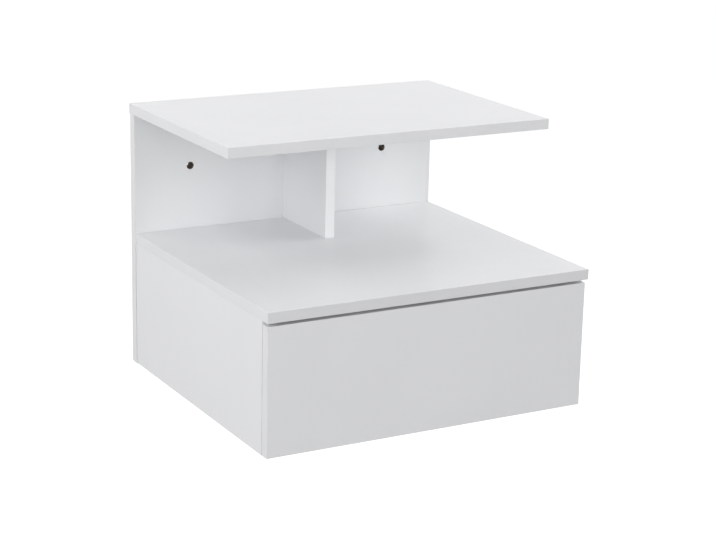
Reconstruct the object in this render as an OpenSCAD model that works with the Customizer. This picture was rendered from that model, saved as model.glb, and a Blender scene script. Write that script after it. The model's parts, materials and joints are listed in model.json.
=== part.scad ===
/* [Cabinet] */
// Width across the deck and the base's sides
cabinet_w = 400; // [360:1:600]
// Depth from the wall to the face of the drawer front
cabinet_d = 364; // [350:1:420]
// Height of the drawer base, from the underside to the top of the deck
base_h = 160; // [155:1:220]
// Clear height of the open niche over the deck
niche_h = 142; // [110:1:260]
// Thickness of the cabinet's boards
board_t = 12; // [12:0.5:19]
// Thickness of the back panel
back_t = 12; // [12:0.5:19]
// How far the back panel stands past the deck and the sides at each end
back_overhang = 0.7; // [0:0.1:1.5]
// Gap between the sides' front edges and the drawer front
side_gap = 1; // [0.5:0.1:3]
// How far the bottom board stays behind the sides' front edges, for fingers
finger_recess = 40; // [25:1:60]

/* [Top shelf and divider] */
// Depth of the top shelf from the wall
shelf_d = 270; // [180:1:340]
// How far the top shelf stands past the deck at each end
shelf_overhang = 1.5; // [1.5:0.5:5]
// Depth of the divider in front of the back panel
divider_d = 110; // [90:1:240]

/* [Wall holes] */
// Diameter of the two wall holes in the front face, where the screws' heads sink in
wall_hole_d = 9; // [6:0.5:12]
// Depth of that wide part of the holes
wall_hole_deep = 8; // [4:0.5:9]
// Diameter of the narrow part behind it, for the screws' shanks
wall_shank_d = 5; // [4:0.5:5.5]
// Distance between the two holes
wall_hole_spacing = 260; // [160:1:280]
// Height of the holes above the deck
wall_hole_up = 76; // [40:1:80]

/* [Drawer front] */
// Thickness of the drawer front
front_t = 12; // [12:0.5:19]
// Open joint between the deck and the drawer front
top_gap = 3.2; // [2:0.1:6]
// How much narrower than the cabinet the front is, at each end
front_reveal = 2; // [0.5:0.5:3]
// Sideways set of the front on its box, as the front is adjusted
front_shift = -2; // [-2:0.5:2]
// Height of the front's lower edge above the cabinet's underside
front_lift = 0.5; // [0.5:0.1:3]

/* [Drawer box] */
// Room between the drawer's box and the back panel
rear_room = 40; // [20:1:60]
// Room between the drawer's sides and the deck
top_room = 18; // [15:0.5:40]
// Room between the bottom board and the drawer's sides
under_room = 12; // [8:0.5:20]
// Length of the drawer that stays in the cabinet when it is open
drawer_kept = 75; // [60:1:150]
// Thickness of the drawer's sides and back
drawer_board_t = 12; // [12:0.5:16]
// Thickness of the drawer's bottom sheet
sheet_t = 3; // [2.5:0.1:4]
// Height of the bottom sheet above the lower edge of the drawer's sides
groove_up = 10; // [8:0.5:14]
// Depth of the grooves that hold the bottom sheet
groove_depth = 6; // [4:0.5:7]
// Play of the bottom sheet in its grooves
groove_fit = 0.2; // [0.1:0.05:0.3]

/* [Runners] */
// Gap between the drawer's side and the cabinet's side
slide_gap = 12.5; // [12.5:0.1:13.5]
// Thickness of the runners' steel
steel_t = 1.2; // [1:0.1:1.4]
// Sideways clearance between the track and the drawer's runner
track_clear = 1.3; // [0.8:0.1:2]
// Sideways clearance between the rail and the cabinet's runner
rail_clear = 1.6; // [0.8:0.1:2]
// Sideways clearance between a roller's rivet and the other runner
rivet_clear = 1.4; // [0.8:0.1:2]
// Radius of the rollers
roller_r = 8; // [7:0.1:8.5]

/* [Fittings] */
// Radius of the roller's bore
roller_bore_r = 2.5; // [2:0.1:3]
// Radius of the rivet's heads and shoulders
rivet_head_r = 4; // [3.5:0.1:4.5]
// Length of the chipboard screws
screw_len = 40; // [35:1:50]
// Radius of the chipboard screws
screw_r = 2; // [1.5:0.1:2.2]
// Radius of the chipboard screws' heads
screw_head_r = 4; // [3.5:0.1:4.5]
// Length of the runner screws
runner_screw_len = 10; // [9:0.5:11]
// Radius of the runner screws
runner_screw_r = 1.75; // [1.5:0.05:2]
// Radius of the runner screws' heads
runner_screw_head_r = 3.2; // [2.8:0.1:3.6]
// Length of the screws that hold the bottom sheet
sheet_screw_len = 16; // [12:1:20]
// Radius of the screws that hold the bottom sheet
sheet_screw_r = 1.5; // [1.2:0.1:1.7]
// Radius of the heads of the screws that hold the bottom sheet
sheet_screw_head_r = 2.8; // [2.5:0.1:3.2]
// Radius of the cams
cam_r = 6; // [5.5:0.1:7]
// Distance from a board's edge to the middle of its cams
cam_edge = 24; // [20:0.5:34]
// Radius of the cam bolts' shanks
bolt_r = 2.7; // [2:0.1:3]
// Radius of the cam bolts' threads
bolt_thread_r = 3; // [2.5:0.1:3.5]
// Radius of the wooden dowels
dowel_r = 3; // [2.5:0.1:4]
// Length of the wooden dowels
dowel_len = 30; // [25:1:35]

/* [Hidden] */
$fn = 48;

// Colours of the finishes
white_board = [0.93, 0.93, 0.93];
white_sheet = [0.88, 0.88, 0.87];
white_steel = [0.90, 0.90, 0.89];
white_nylon = [0.84, 0.84, 0.82];
zinc = [0.68, 0.69, 0.70];
beech = [0.80, 0.66, 0.48];

// Overrun of cuts, and the play between a fitting and its hole
over = 1;
fit = 0.05;
// Board left in front of a blind hole
skin = 3;

// The cabinet's main places: x from the middle, y from the wall, z from the underside
half_w = cabinet_w / 2;
inner_x = half_w - board_t;
side_h = base_h - board_t;
shelf_z = base_h + niche_h;
front_back_y = front_t - cabinet_d;
side_front_y = front_back_y + side_gap;
bottom_front_y = side_front_y + finger_recess;

// The drawer's main sizes and places
drawer_len = cabinet_d - front_t - back_t - rear_room;
drawer_lift = board_t + under_room;
drawer_h = side_h - drawer_lift - top_room;
travel = drawer_len - drawer_kept;
drawer_x = inner_x - slide_gap;
drawer_inner_x = drawer_x - drawer_board_t;
drawer_rear_y = front_back_y + drawer_len;
drawer_back_y = drawer_rear_y - drawer_board_t;
drawer_top_z = drawer_lift + drawer_h;
sheet_z = drawer_lift + groove_up;
front_top_z = side_h - top_gap;

// Levels of the runners, from the track that carries the rear rollers
roller_play = 0.2;
rail_lift = 0.8;
cover_clear = 1;
track_z = drawer_lift;
rail_z = track_z + 2 * roller_r + rail_lift;
cover_z = rail_z + steel_t + cover_clear;
front_roller_z = rail_z - roller_play - roller_r;
rear_roller_z = track_z + roller_play + roller_r;

// Places of the runners from front to back
runner_set = 2;
runner_len = drawer_len;
drawer_runner_set = 1;
rear_roller_set = 12;
runner_front_y = side_front_y + runner_set;
runner_rear_y = runner_front_y + runner_len;
front_roller_y = runner_front_y + 2 * roller_r;
rear_roller_y = drawer_rear_y - rear_roller_set;

// The stop in the track, which the rear roller meets at the end of its travel
stop_h = 3;
stop_l = 4;
stop_clear = 0.3;
stop_drop = roller_r + roller_play - stop_h;
stop_reach = sqrt(roller_r * roller_r - stop_drop * stop_drop);
stop_y = rear_roller_y - travel - stop_reach - stop_clear;

// Sideways places of the rollers and their rivets, from the runner's web
shoulder_t = 0.6;
roller_side_play = 0.15;
rivet_head_t = 0.8;
rivet_tail_r = 2;
rivet_play = 0.06;
roller_w = slide_gap - 2 * steel_t - shoulder_t - 2 * roller_side_play - rivet_head_t - rivet_clear;
journal_l = roller_w + 2 * roller_side_play;
track_w = slide_gap - steel_t - track_clear;
rail_w = slide_gap - steel_t - rail_clear;

// The roller's rim, hub and hollow
roller_edge = 0.5;
rim_t = 1.6;
hub_t = 1.5;
roller_hollow = 1.2;

// Shares of a screw head: its cone, its cross recess, and the tip of the screw
cone_share = 0.6;
cross_w_share = 0.22;
cross_l_share = 1.1;
cross_deep_share = 0.35;
tip_share = 0.12;
tip_r_share = 0.2;

// The cam's body under the bolt, its pocket for the bolt's head and its driver slot
cam_below = 3.5;
cam_pocket_fit = 0.3;
cam_slot_w = 1.6;
cam_slot_deep = 1.4;
bolt_head_l = 3;
bolt_neck_l = 3;
bolt_neck_r = 1.6;

// Places of the fittings, as shares of the half width, depth or height of the piece that holds them
shelf_cam_shares = [-0.75, 0.75];
shelf_dowel_shares = [-0.9, -0.35, 0.35, 0.9];
back_across_shares = [-0.5, 0.5];
side_screw_shares = [0.25, 0.75];
divider_screw_share = 0.5;
divider_along_shares = [0.25, 0.78];
side_cam_shares = [0.15, 0.8];
side_dowel_shares = [0.3, 0.6];
bottom_cam_shares = [0.2, 0.8];
bottom_dowel_share = 0.5;
drawer_cam_share = 0.5;
drawer_dowel_shares = [0.27, 0.79];
drawer_back_shares = [0.35, 0.8];
drawer_sheet_shares = [-0.67, 0, 0.67];
runner_screw_shares = [0.15, 0.5, 0.9];
drawer_runner_screw_shares = [0.12, 0.5, 0.85];
runner_screw_level_share = 0.5;
drawer_runner_screw_level_share = 0.5;

// Depth of the boards behind their front edge, counted from the back panel
side_l = -back_t - side_front_y;
bottom_l = -back_t - bottom_front_y;

// Middles of the boards that take fittings in their edges
side_mid_x = inner_x + board_t / 2;
drawer_side_mid_x = drawer_inner_x + drawer_board_t / 2;
drawer_back_mid_y = drawer_back_y + drawer_board_t / 2;
shelf_cam_z = shelf_z - cam_edge;
side_cam_z = side_h - cam_edge;
runner_screw_z = track_z + (cover_z - track_z) * runner_screw_level_share;
drawer_runner_screw_z = drawer_lift + groove_up * drawer_runner_screw_level_share;

// Depth of the blind holes in a face
blind = board_t - skin;
front_blind = front_t - skin;

function back_from_front(share, front, length) = front + share * length;

// A box between two corners
module block(low, high) {
  translate(low) cube(high - low);
}

// Draws its children on the right, or mirrored on the left
module on_side(side) {
  if (side > 0) children();
  else mirror([1, 0, 0]) children();
}

// Draws its children on the right and on the left
module both_sides() {
  on_side(1) children();
  on_side(-1) children();
}

// A countersunk screw along +z with the face of its head at zero; grow widens it into its hole
module screw(length, r, head_r, grow = 0) {
  head_h = head_r * cone_share;
  tip = length * tip_share;
  difference() {
    union() {
      cylinder(h = head_h, r1 = head_r + grow, r2 = r + grow);
      cylinder(h = length - tip + grow, r = r + grow);
      translate([0, 0, length - tip + grow]) cylinder(h = tip, r1 = r + grow, r2 = r * tip_r_share);
    }
    if (grow == 0) cross_recess(head_r);
  }
  if (grow > 0) translate([0, 0, -over]) cylinder(h = over, r = head_r + grow);
}

// The cross recess of a screw head
module cross_recess(head_r) {
  long = head_r * cross_l_share;
  wide = head_r * cross_w_share;
  deep = head_r * cross_deep_share;
  for (turn = [0, 90]) rotate(turn) block([-long / 2, -wide / 2, -over], [long / 2, wide / 2, deep]);
}

// A cam along +z with its face at zero and its pocket open towards +y; depth is the bolt's level
module cam(depth, grow = 0) {
  cam_h = depth + cam_below;
  difference() {
    cylinder(h = cam_h + grow, r = cam_r + grow);
    if (grow == 0) {
      translate([0, 0, depth]) rotate([-90, 0, 0]) cylinder(h = cam_r + over, r = bolt_r + cam_pocket_fit);
      block([-cam_r - over, -cam_slot_w / 2, -over], [cam_r + over, cam_slot_w / 2, cam_slot_deep]);
    }
  }
  if (grow > 0) translate([0, 0, -over]) cylinder(h = over, r = cam_r + grow);
}

// A cam bolt along +z, from the middle of its cam to the end of its thread in the other board
module cam_bolt(thread_l, grow = 0) {
  neck_r = grow > 0 ? bolt_r : bolt_neck_r;
  cylinder(h = bolt_head_l, r = bolt_r + grow);
  translate([0, 0, bolt_head_l]) cylinder(h = bolt_neck_l, r = neck_r + grow);
  translate([0, 0, bolt_head_l + bolt_neck_l]) {
    cylinder(h = cam_edge - bolt_head_l - bolt_neck_l, r = bolt_r + grow);
  }
  translate([0, 0, cam_edge]) cylinder(h = thread_l + grow, r = bolt_thread_r + grow);
}

// A dowel along +z that reaches face_l past zero into the face of the other board
module dowel(face_l, grow = 0) {
  translate([0, 0, face_l - dowel_len - grow]) cylinder(h = dowel_len + 2 * grow, r = dowel_r + grow);
}

// Screws from behind into both sides
module back_to_side_screws(grow = 0) {
  both_sides() for (share = side_screw_shares) {
    translate([side_mid_x, 0, share * side_h]) rotate([90, 0, 0]) screw(screw_len, screw_r, screw_head_r, grow);
  }
}

// Screws from behind into a lying board whose middle is at height z
module back_to_board_screws(z, grow = 0) {
  for (share = back_across_shares) {
    translate([share * half_w, 0, z]) rotate([90, 0, 0]) screw(screw_len, screw_r, screw_head_r, grow);
  }
}

// The screw from behind into the divider
module back_to_divider_screw(grow = 0) {
  level = base_h + divider_screw_share * niche_h;
  translate([0, 0, level]) rotate([90, 0, 0]) screw(screw_len, screw_r, screw_head_r, grow);
}

// Screws from under the deck into the divider
module divider_screw_set(grow = 0) {
  for (share = divider_along_shares) {
    translate([0, -back_t - share * divider_d, side_h]) screw(screw_len, screw_r, screw_head_r, grow);
  }
}

// Dowels between the divider and the top shelf
module divider_dowels(grow = 0) {
  for (share = divider_along_shares) {
    translate([0, -back_t - share * divider_d, shelf_z]) dowel(blind, grow);
  }
}

// Cams in the back panel's rear face that draw the top shelf down
module shelf_cams(grow = 0) {
  for (share = shelf_cam_shares) {
    translate([share * half_w, 0, shelf_cam_z]) rotate([90, 0, 0]) cam(back_t / 2, grow);
  }
}

// Bolts of those cams
module shelf_cam_bolts(grow = 0) {
  for (share = shelf_cam_shares) translate([share * half_w, -back_t / 2, shelf_cam_z]) cam_bolt(blind, grow);
}

// Dowels between the back panel and the top shelf
module shelf_dowels(grow = 0) {
  for (share = shelf_dowel_shares) translate([share * half_w, -back_t / 2, shelf_z]) dowel(blind, grow);
}

// Cams in the right side's inner face that draw it up to the deck
module side_cams(grow = 0) {
  for (share = side_cam_shares) {
    y = back_from_front(share, side_front_y, side_l);
    translate([inner_x, y, side_cam_z]) rotate([90, 0, 90]) cam(board_t / 2, grow);
  }
}

// Bolts of those cams
module side_cam_bolts(grow = 0) {
  for (share = side_cam_shares) {
    translate([side_mid_x, back_from_front(share, side_front_y, side_l), side_cam_z]) cam_bolt(blind, grow);
  }
}

// Dowels between the right side and the deck
module side_dowels(grow = 0) {
  for (share = side_dowel_shares) {
    translate([side_mid_x, back_from_front(share, side_front_y, side_l), side_h]) dowel(blind, grow);
  }
}

// Cams under the bottom board that draw the right side in
module bottom_cams(grow = 0) {
  for (share = bottom_cam_shares) {
    y = back_from_front(share, bottom_front_y, bottom_l);
    translate([inner_x - cam_edge, y, 0]) rotate([0, 0, -90]) cam(board_t / 2, grow);
  }
}

// Bolts of those cams
module bottom_cam_bolts(grow = 0) {
  for (share = bottom_cam_shares) {
    y = back_from_front(share, bottom_front_y, bottom_l);
    translate([inner_x - cam_edge, y, board_t / 2]) rotate([0, 90, 0]) cam_bolt(blind, grow);
  }
}

// The dowel between the bottom board and the right side
module bottom_dowel(grow = 0) {
  y = back_from_front(bottom_dowel_share, bottom_front_y, bottom_l);
  translate([inner_x, y, board_t / 2]) rotate([0, 90, 0]) dowel(blind, grow);
}

// Screws that hold the right runner on the cabinet's side
module runner_screw_row(grow = 0) {
  for (share = runner_screw_shares) {
    y = back_from_front(share, runner_front_y, runner_len);
    translate([inner_x - steel_t, y, runner_screw_z]) rotate([0, 90, 0]) {
      screw(runner_screw_len, runner_screw_r, runner_screw_head_r, grow);
    }
  }
}

// Screws that hold the right runner on the drawer's side
module drawer_runner_screw_row(grow = 0) {
  for (share = drawer_runner_screw_shares) {
    y = back_from_front(share, front_back_y, drawer_len);
    translate([drawer_x + steel_t, y, drawer_runner_screw_z]) rotate([0, -90, 0]) {
      screw(runner_screw_len, runner_screw_r, runner_screw_head_r, grow);
    }
  }
}

// The cam in the right drawer side's inner face that draws the front on
module drawer_cam(grow = 0) {
  z = drawer_lift + drawer_cam_share * drawer_h;
  translate([drawer_inner_x, front_back_y + cam_edge, z]) rotate([180, -90, 0]) cam(drawer_board_t / 2, grow);
}

// The bolt of that cam
module drawer_cam_bolt(grow = 0) {
  z = drawer_lift + drawer_cam_share * drawer_h;
  translate([drawer_side_mid_x, front_back_y + cam_edge, z]) rotate([90, 0, 0]) cam_bolt(front_blind, grow);
}

// Dowels between the right drawer side and the front
module drawer_front_dowels(grow = 0) {
  for (share = drawer_dowel_shares) {
    z = drawer_lift + share * drawer_h;
    translate([drawer_side_mid_x, front_back_y, z]) rotate([90, 0, 0]) dowel(front_blind, grow);
  }
}

// Screws through the right drawer side into the drawer's back
module drawer_back_screw_row(grow = 0) {
  for (share = drawer_back_shares) {
    z = drawer_lift + share * drawer_h;
    translate([drawer_x, drawer_back_mid_y, z]) rotate([0, -90, 0]) screw(screw_len, screw_r, screw_head_r, grow);
  }
}

// Screws through the bottom sheet into the drawer's back
module sheet_screws(grow = 0) {
  for (share = drawer_sheet_shares) {
    translate([share * drawer_inner_x, drawer_back_mid_y, sheet_z]) {
      screw(sheet_screw_len, sheet_screw_r, sheet_screw_head_r, grow);
    }
  }
}

// The two stepped holes for the wall screws
module wall_holes() {
  for (side = [-1, 1]) {
    translate([side * wall_hole_spacing / 2, 0, base_h + wall_hole_up]) rotate([90, 0, 0]) {
      translate([0, 0, -over]) cylinder(h = back_t + over, r = wall_shank_d / 2);
      translate([0, 0, back_t - wall_hole_deep]) cylinder(h = wall_hole_deep + over, r = wall_hole_d / 2);
    }
  }
}

// The panel against the wall
module back_panel() {
  reach = half_w + back_overhang;
  color(white_board) difference() {
    block([-reach, -back_t, 0], [reach, 0, shelf_z]);
    wall_holes();
    back_to_side_screws(fit);
    back_to_board_screws(side_h + board_t / 2, fit);
    back_to_board_screws(board_t / 2, fit);
    back_to_divider_screw(fit);
    shelf_cams(fit);
    shelf_cam_bolts(fit);
    shelf_dowels(fit);
  }
}

// The short shelf on top
module top_shelf() {
  reach = half_w + shelf_overhang;
  color(white_board) difference() {
    block([-reach, -shelf_d, shelf_z], [reach, 0, shelf_z + board_t]);
    shelf_cam_bolts(fit);
    shelf_dowels(fit);
    divider_dowels(fit);
  }
}

// The upright in the middle of the niche
module divider() {
  color(white_board) difference() {
    block([-board_t / 2, -back_t - divider_d, base_h], [board_t / 2, -back_t, shelf_z]);
    back_to_divider_screw(fit);
    divider_screw_set(fit);
    divider_dowels(fit);
  }
}

// The board over the drawer
module deck() {
  color(white_board) difference() {
    block([-half_w, -cabinet_d, side_h], [half_w, -back_t, base_h]);
    back_to_board_screws(side_h + board_t / 2, fit);
    divider_screw_set(fit);
    both_sides() {
      side_cam_bolts(fit);
      side_dowels(fit);
    }
  }
}

// An upright of the base, drawn on the right
module base_side() {
  color(white_board) difference() {
    block([inner_x, side_front_y, 0], [half_w, -back_t, side_h]);
    back_to_side_screws(fit);
    side_cams(fit);
    side_cam_bolts(fit);
    side_dowels(fit);
    bottom_cam_bolts(fit);
    bottom_dowel(fit);
    runner_screw_row(fit);
  }
}

module left_side() {
  on_side(-1) base_side();
}

module right_side() {
  on_side(1) base_side();
}

// The board under the drawer, set back for fingers
module bottom_board() {
  color(white_board) difference() {
    block([-inner_x, bottom_front_y, 0], [inner_x, -back_t, board_t]);
    back_to_board_screws(board_t / 2, fit);
    both_sides() {
      bottom_cams(fit);
      bottom_cam_bolts(fit);
      bottom_dowel(fit);
    }
  }
}

// The front of the drawer, with the groove for its bottom sheet
module drawer_front() {
  reach = half_w - front_reveal;
  groove_x = drawer_inner_x + groove_depth;
  color(white_board) difference() {
    block([front_shift - reach, -cabinet_d, front_lift], [front_shift + reach, front_back_y, front_top_z]);
    block(
      [-groove_x, front_back_y - groove_depth, sheet_z - groove_fit],
      [groove_x, front_back_y + over, sheet_z + sheet_t + groove_fit]
    );
    both_sides() {
      drawer_cam_bolt(fit);
      drawer_front_dowels(fit);
    }
  }
}

// A side of the drawer, drawn on the right
module drawer_side() {
  color(white_board) difference() {
    block([drawer_inner_x, front_back_y, drawer_lift], [drawer_x, drawer_rear_y, drawer_top_z]);
    block(
      [drawer_inner_x - over, front_back_y - over, sheet_z - groove_fit],
      [drawer_inner_x + groove_depth, drawer_rear_y + over, sheet_z + sheet_t + groove_fit]
    );
    drawer_cam(fit);
    drawer_cam_bolt(fit);
    drawer_front_dowels(fit);
    drawer_back_screw_row(fit);
    drawer_runner_screw_row(fit);
  }
}

module drawer_left_side() {
  on_side(-1) drawer_side();
}

module drawer_right_side() {
  on_side(1) drawer_side();
}

// The back of the drawer, which stands on the bottom sheet
module drawer_back() {
  color(white_board) difference() {
    block([-drawer_inner_x, drawer_back_y, sheet_z + sheet_t], [drawer_inner_x, drawer_rear_y, drawer_top_z]);
    both_sides() drawer_back_screw_row(fit);
    sheet_screws(fit);
  }
}

// The thin bottom sheet of the drawer
module drawer_bottom() {
  reach = drawer_inner_x + groove_depth - groove_fit;
  color(white_sheet) difference() {
    block(
      [-reach, front_back_y - groove_depth + groove_fit, sheet_z],
      [reach, drawer_rear_y, sheet_z + sheet_t]
    );
    sheet_screws(fit);
  }
}

// The cabinet's runner: a web on the side, the track, the cover over it and the stop
module cabinet_runner() {
  color(white_steel) difference() {
    union() {
      block([inner_x - steel_t, runner_front_y, track_z - steel_t], [inner_x, runner_rear_y, cover_z + steel_t]);
      block([inner_x - track_w, runner_front_y, track_z - steel_t], [inner_x, runner_rear_y, track_z]);
      block([inner_x - track_w, runner_front_y, cover_z], [inner_x, runner_rear_y, cover_z + steel_t]);
      block([inner_x - track_w, stop_y - stop_l, track_z - steel_t], [inner_x, stop_y, track_z + stop_h]);
    }
    runner_screw_row(fit);
    front_rivet(fit);
  }
}

module left_cabinet_runner() {
  on_side(-1) cabinet_runner();
}

module right_cabinet_runner() {
  on_side(1) cabinet_runner();
}

// The drawer's runner: a foot under the drawer's side, a web beside it and the rail
module drawer_runner() {
  front_y = front_back_y + drawer_runner_set;
  rear_y = drawer_rear_y - drawer_runner_set;
  color(white_steel) difference() {
    union() {
      block([drawer_inner_x, front_y, drawer_lift - steel_t], [drawer_x + steel_t, rear_y, drawer_lift]);
      block([drawer_x, front_y, drawer_lift - steel_t], [drawer_x + steel_t, rear_y, rail_z + steel_t]);
      block([drawer_x, front_y, rail_z], [drawer_x + rail_w, rear_y, rail_z + steel_t]);
    }
    drawer_runner_screw_row(fit);
    rear_rivet(fit);
  }
}

module left_drawer_runner() {
  on_side(-1) drawer_runner();
}

module right_drawer_runner() {
  on_side(1) drawer_runner();
}

// A roller along +z, from its inner face
module roller() {
  hub_r = roller_bore_r + hub_t;
  rim_r = roller_r - rim_t;
  color(white_nylon) rotate_extrude() polygon([
    [roller_bore_r, 0],
    [roller_r - roller_edge, 0],
    [roller_r, roller_edge],
    [roller_r, roller_w - roller_edge],
    [roller_r - roller_edge, roller_w],
    [rim_r, roller_w],
    [rim_r, roller_w - roller_hollow],
    [hub_r, roller_w - roller_hollow],
    [hub_r, roller_w],
    [roller_bore_r, roller_w]
  ]);
}

// Places what lies on the web of the right cabinet runner, with +z towards the drawer
module at_front_roller(rise) {
  translate([inner_x - steel_t - rise, front_roller_y, front_roller_z]) rotate([0, -90, 0]) children();
}

// Places what lies on the web of the right drawer runner, with +z towards the cabinet's side
module at_rear_roller(rise) {
  translate([drawer_x + steel_t + rise, rear_roller_y, rear_roller_z]) rotate([0, 90, 0]) children();
}

module left_front_roller() {
  on_side(-1) at_front_roller(shoulder_t + roller_side_play) roller();
}

module right_front_roller() {
  on_side(1) at_front_roller(shoulder_t + roller_side_play) roller();
}

module left_rear_roller() {
  on_side(-1) at_rear_roller(shoulder_t + roller_side_play) roller();
}

module right_rear_roller() {
  on_side(1) at_rear_roller(shoulder_t + roller_side_play) roller();
}

// A rivet along +z: its tail in the web, its shoulder on it, the journal and the head
module rivet(grow = 0) {
  tail_end = grow > 0 ? over : 0;
  translate([0, 0, -steel_t - tail_end]) cylinder(h = steel_t + tail_end + grow, r = rivet_tail_r + grow);
  if (grow == 0) {
    cylinder(h = shoulder_t, r = rivet_head_r);
    translate([0, 0, shoulder_t]) cylinder(h = journal_l, r = roller_bore_r - rivet_play);
    translate([0, 0, shoulder_t + journal_l]) cylinder(h = rivet_head_t, r = rivet_head_r);
  }
}

module front_rivet(grow = 0) {
  at_front_roller(0) rivet(grow);
}

module rear_rivet(grow = 0) {
  at_rear_roller(0) rivet(grow);
}

module front_roller_rivets() {
  color(zinc) both_sides() front_rivet();
}

module rear_roller_rivets() {
  color(zinc) both_sides() rear_rivet();
}

module back_screws() {
  color(zinc) {
    back_to_side_screws();
    back_to_board_screws(side_h + board_t / 2);
    back_to_board_screws(board_t / 2);
    back_to_divider_screw();
  }
}

module divider_screws() {
  color(zinc) divider_screw_set();
}

module cabinet_cams() {
  color(zinc) {
    shelf_cams();
    both_sides() {
      side_cams();
      bottom_cams();
    }
  }
}

module cabinet_cam_bolts() {
  color(zinc) {
    shelf_cam_bolts();
    both_sides() {
      side_cam_bolts();
      bottom_cam_bolts();
    }
  }
}

module cabinet_dowels() {
  color(beech) {
    shelf_dowels();
    divider_dowels();
    both_sides() {
      side_dowels();
      bottom_dowel();
    }
  }
}

module drawer_cams() {
  color(zinc) both_sides() drawer_cam();
}

module drawer_cam_bolts() {
  color(zinc) both_sides() drawer_cam_bolt();
}

module drawer_dowels() {
  color(beech) both_sides() drawer_front_dowels();
}

module drawer_back_screws() {
  color(zinc) both_sides() drawer_back_screw_row();
}

module drawer_bottom_screws() {
  color(zinc) sheet_screws();
}

module cabinet_runner_screws() {
  color(zinc) both_sides() runner_screw_row();
}

module drawer_runner_screws() {
  color(zinc) both_sides() drawer_runner_screw_row();
}

back_panel();
top_shelf();
divider();
deck();
left_side();
right_side();
bottom_board();
drawer_front();
drawer_left_side();
drawer_right_side();
drawer_back();
drawer_bottom();
left_cabinet_runner();
right_cabinet_runner();
left_drawer_runner();
right_drawer_runner();
left_front_roller();
right_front_roller();
left_rear_roller();
right_rear_roller();
front_roller_rivets();
rear_roller_rivets();
back_screws();
divider_screws();
cabinet_cams();
cabinet_cam_bolts();
cabinet_dowels();
drawer_cams();
drawer_cam_bolts();
drawer_dowels();
drawer_back_screws();
drawer_bottom_screws();
cabinet_runner_screws();
drawer_runner_screws();
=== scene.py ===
"""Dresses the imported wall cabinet: faced boards with edge bands, rolled steel runners, nylon
rollers and the fittings, in the frame of the CAD model, lit and seen as in the photograph."""

import json
import math

import bmesh
import bpy
from mathutils import Matrix, Quaternion, Vector

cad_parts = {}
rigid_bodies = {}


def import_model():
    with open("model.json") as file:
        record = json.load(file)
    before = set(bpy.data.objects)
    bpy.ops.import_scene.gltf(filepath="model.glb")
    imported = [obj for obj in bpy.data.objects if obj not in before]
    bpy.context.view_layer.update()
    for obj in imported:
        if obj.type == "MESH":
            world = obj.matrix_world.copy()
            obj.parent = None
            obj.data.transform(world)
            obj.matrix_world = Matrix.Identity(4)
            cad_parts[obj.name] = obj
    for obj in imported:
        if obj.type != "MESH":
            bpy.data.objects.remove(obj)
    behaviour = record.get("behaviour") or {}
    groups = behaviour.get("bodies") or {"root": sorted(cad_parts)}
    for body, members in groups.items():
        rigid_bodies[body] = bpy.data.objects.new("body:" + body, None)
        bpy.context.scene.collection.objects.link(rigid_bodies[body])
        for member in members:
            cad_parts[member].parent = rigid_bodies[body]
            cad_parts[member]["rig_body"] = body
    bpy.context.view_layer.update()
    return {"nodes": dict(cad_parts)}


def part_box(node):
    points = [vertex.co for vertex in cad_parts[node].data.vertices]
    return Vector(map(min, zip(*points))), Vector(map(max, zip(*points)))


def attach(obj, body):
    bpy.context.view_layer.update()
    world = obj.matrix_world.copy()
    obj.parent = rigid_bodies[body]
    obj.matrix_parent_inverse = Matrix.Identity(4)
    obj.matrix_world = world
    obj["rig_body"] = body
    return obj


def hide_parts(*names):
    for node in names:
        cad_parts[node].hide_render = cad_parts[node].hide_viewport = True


MM = 0.001
AXES = {"x": 0, "y": 1, "z": 2}
UP = Vector((0.0, 0.0, 1.0))
FORWARD = Vector((0.0, -1.0, 0.0))
WHITE = (1.0, 1.0, 1.0, 1.0)

# Corners closer than this count as one
MERGE = 0.001 * MM

# Faces that turn less than the flat angle are one face; narrow faces that turn less than the
# smooth angle are shaded as one
FLAT_ANGLE = math.radians(0.5)
SMOOTH_ANGLE = math.radians(28)
FLAT_WIDTH = 3 * MM

# Edge bands, and the fine arris where a board's faces stop
BAND_T = 0.8 * MM
BAND_ROUND = 0.35 * MM
BAND_SEAM = 0.06 * MM
ARRIS = 0.06 * MM

# The white facing's thickness, and the fine gap left where a raw end meets a board's face
FACING_T = 0.3 * MM
JOINT_GAP = 0.4 * MM

# Rolled steel of the runners
STEEL_T = 1.2 * MM
BEND_R = 1.5 * MM
BEND_STEPS = 5

# Each board's thickness direction, the edges that carry a band, and the raw ends with a joint gap
BOARDS = {
    "back_panel": ("y", ("-x", "+x", "-z"), ()),
    "top_shelf": ("z", ("-x", "+x", "-y"), ()),
    "divider": ("x", ("-y",), ()),
    "deck": ("z", ("-x", "+x", "-y"), ("+y",)),
    "left_side": ("x", ("-y", "-z"), ("+y",)),
    "right_side": ("x", ("-y", "-z"), ("+y",)),
    "bottom_board": ("z", ("-y",), ("+y",)),
    "drawer_front": ("y", ("-x", "+x", "-z", "+z"), ()),
    "drawer_left_side": ("x", ("+z",), ()),
    "drawer_right_side": ("x", ("+z",), ()),
    "drawer_back": ("y", ("+z",), ()),
}

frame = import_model()


def body_of_node(node):
    """The body that a CAD node belongs to."""
    return frame["nodes"][node]["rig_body"]


# Node trees


class Size:
    """A number in a node tree that is reckoned with like any other."""

    def __init__(self, socket):
        self.socket = socket

    def reckon(self, operation, *others):
        """What a maths node makes of this number and the others."""
        values = enumerate((self, *others))
        return Size(made_by(self.socket.id_data, "ShaderNodeMath", values, operation=operation))

    def __add__(self, other):
        return self.reckon("ADD", other)

    def __sub__(self, other):
        return self.reckon("SUBTRACT", other)

    def __rsub__(self, other):
        return self * -1.0 + other

    def __mul__(self, other):
        return self.reckon("MULTIPLY", other)

    def __truediv__(self, other):
        return self.reckon("DIVIDE", other)


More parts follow.
